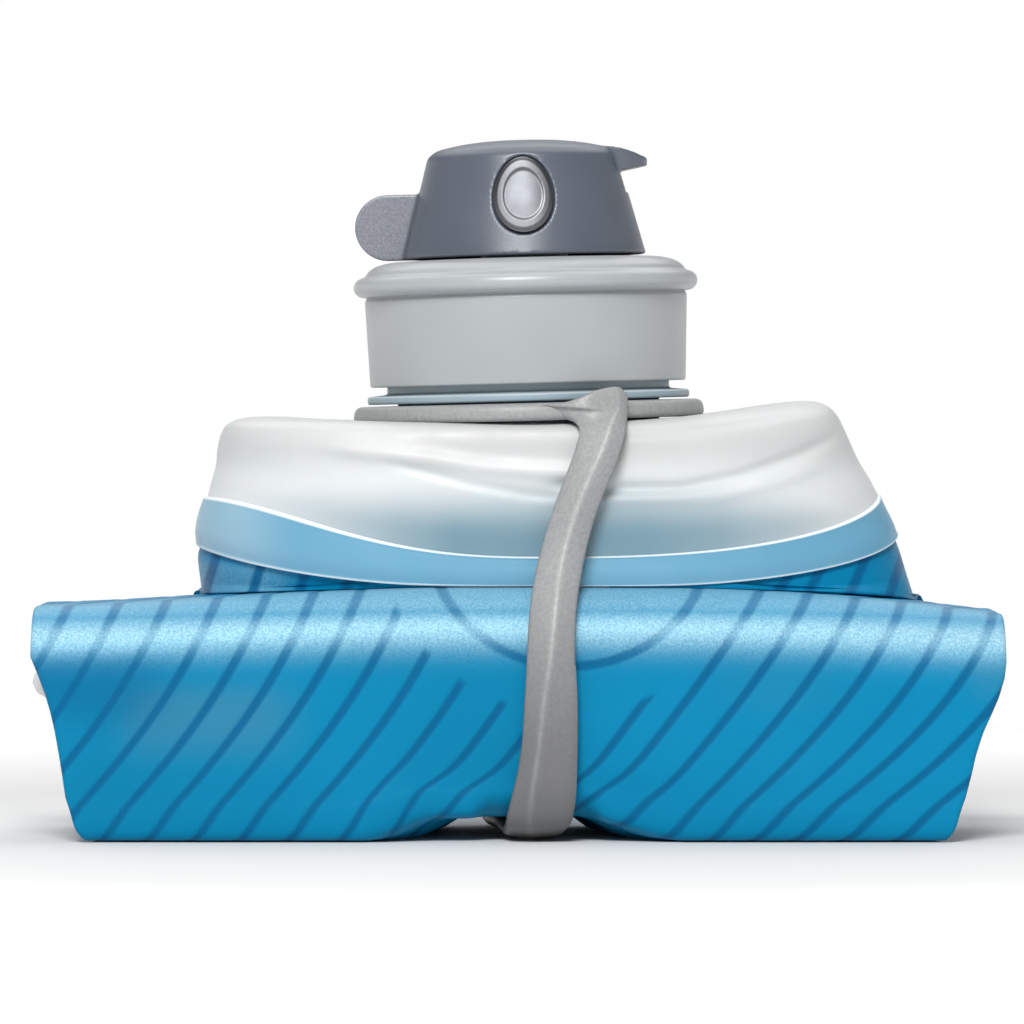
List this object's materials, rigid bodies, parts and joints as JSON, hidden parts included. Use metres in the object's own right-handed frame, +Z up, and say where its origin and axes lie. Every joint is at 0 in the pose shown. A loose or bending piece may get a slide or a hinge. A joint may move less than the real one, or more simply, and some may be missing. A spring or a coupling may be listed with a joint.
{
  "type": "folding water bottle",
  "caption": "Collapsible soft water bottle, rolled up from its base, with a screw lid, a twist-open spout cap and a bail strap that holds the roll.",
  "frame": {"origin": "middle of the bounding box's underside, on the surface that the rolled bottle stands on", "axes": "+X along the roll to the right, -Y to the front, +Z up through the neck, which leans 1.5 degrees to -X"},
  "size_m": [0.1508, 0.0762, 0.1113],
  "materials": {
    "lid_plastic": "light grey moulded polypropylene, satin",
    "cap_plastic": "dark slate grey moulded plastic, fine satin texture",
    "badge_metal": "blank satin silver inlay",
    "grey_elastomer": "mid grey matte thermoplastic elastomer, fine grain",
    "seal_rubber": "black silicone seal",
    "frosted_shell": "frosted translucent thermoplastic polyurethane",
    "weld_film": "light blue, frosted shell welded over blue film",
    "blue_film": "saturated blue polyurethane film with fine sparkle and debossed lines"
  },
  "bodies": {
    "base_roll": {"film_panel_9": "blue_film", "base_film": "frosted_shell"},
    "turn_8": {"film_panel_8": "blue_film"},
    "turn_7": {"film_panel_7": "blue_film"},
    "turn_6": {"film_panel_6": "blue_film"},
    "turn_5": {"film_panel_5": "blue_film"},
    "turn_4": {"film_panel_4": "blue_film"},
    "turn_3": {"film_panel_3": "blue_film"},
    "turn_2": {"film_panel_2": "blue_film"},
    "shoulder": {"film_panel_1": "blue_film", "upper_film": "blue_film", "weld_band": "weld_film", "shoulder_shell": "frosted_shell", "neck_fitment": "frosted_shell", "bail_ring": "grey_elastomer"},
    "bail": {"bail_strap": "grey_elastomer"},
    "lid_travel": {"lid_gasket": "seal_rubber"},
    "lid": {"screw_lid": "lid_plastic", "spout_core": "lid_plastic", "core_o_ring_1": "seal_rubber", "core_o_ring_2": "seal_rubber"},
    "cap": {"twist_cap": "cap_plastic", "cap_badge": "badge_metal"}
  },
  "joints": [
    {"name": "unroll", "type": "hinge", "parent": "base_roll", "child": "turn_8", "pos_m": [0, -0.00392, 0.03164], "axis": [-1, 0, 0], "range_deg": [0, 90], "deforming": ["film_panel_8", "film_panel_9", "base_film"]},
    {"name": "unroll_fold_7", "type": "hinge", "parent": "turn_8", "child": "turn_7", "pos_m": [0, -0.02659, 0.03143], "axis": [-1, 0, 0], "range_deg": [0, 90], "deforming": ["film_panel_7"]},
    {"name": "unroll_fold_6", "type": "hinge", "parent": "turn_7", "child": "turn_6", "pos_m": [0, -0.0268, 0.00756], "axis": [-1, 0, 0], "range_deg": [0, 90], "deforming": ["film_panel_6"]},
    {"name": "unroll_fold_5", "type": "hinge", "parent": "turn_6", "child": "turn_5", "pos_m": [0, 0.00208, 0.00756], "axis": [-1, 0, 0], "range_deg": [0, 90], "deforming": ["film_panel_5"]},
    {"name": "unroll_fold_4", "type": "hinge", "parent": "turn_5", "child": "turn_4", "pos_m": [0, 0.00165, 0.03721], "axis": [-1, 0, 0], "range_deg": [0, 90], "deforming": ["film_panel_4"]},
    {"name": "unroll_fold_3", "type": "hinge", "parent": "turn_4", "child": "turn_3", "pos_m": [0, -0.03173, 0.03657], "axis": [-1, 0, 0], "range_deg": [0, 90], "deforming": ["film_panel_3"]},
    {"name": "unroll_fold_2", "type": "hinge", "parent": "turn_3", "child": "turn_2", "pos_m": [0, -0.03259, 0.00177], "axis": [-1, 0, 0], "range_deg": [0, 90], "deforming": ["film_panel_2"]},
    {"name": "unroll_fold_1", "type": "hinge", "parent": "turn_2", "child": "shoulder", "pos_m": [0, 0.00787, 0.00177], "axis": [-1, 0, 0], "range_deg": [0, 90], "deforming": ["film_panel_1", "upper_film"]},
    {"name": "bail_swing", "type": "hinge", "parent": "shoulder", "child": "bail", "pos_m": [0.00166, 0.00364, 0.0676], "axis": [-0.4226, 0.9063, 0], "range_deg": [0, 180], "deforming": ["bail_strap"]},
    {"name": "lid_lift", "type": "slide", "parent": "shoulder", "child": "lid_travel", "axis": [-0.0262, 0, 0.9997], "range_m": [0, 0.0061]},
    {"name": "lid_turn", "type": "hinge", "parent": "lid_travel", "child": "lid", "pos_m": [0.0017, 0.00364, 0.0655], "axis": [-0.0262, 0, 0.9997], "range_deg": [0, 540]},
    {"name": "cap_twist", "type": "hinge", "parent": "lid", "child": "cap", "pos_m": [0.0017, 0.00364, 0.0655], "axis": [-0.0262, 0, 0.9997], "range_deg": [0, 90]}
  ],
  "couplings": [
    {"joint": "unroll_fold_7", "follows": "unroll", "ratio": 1},
    {"joint": "unroll_fold_6", "follows": "unroll", "ratio": 1},
    {"joint": "unroll_fold_5", "follows": "unroll", "ratio": 1},
    {"joint": "unroll_fold_4", "follows": "unroll", "ratio": 1},
    {"joint": "unroll_fold_3", "follows": "unroll", "ratio": 1},
    {"joint": "unroll_fold_2", "follows": "unroll", "ratio": 1},
    {"joint": "unroll_fold_1", "follows": "unroll", "ratio": 1},
    {"joint": "bail_swing", "follows": "unroll", "ratio": 2},
    {"joint": "lid_lift", "follows": "lid_turn", "m_per_rad": 0.00063662}
  ]
}
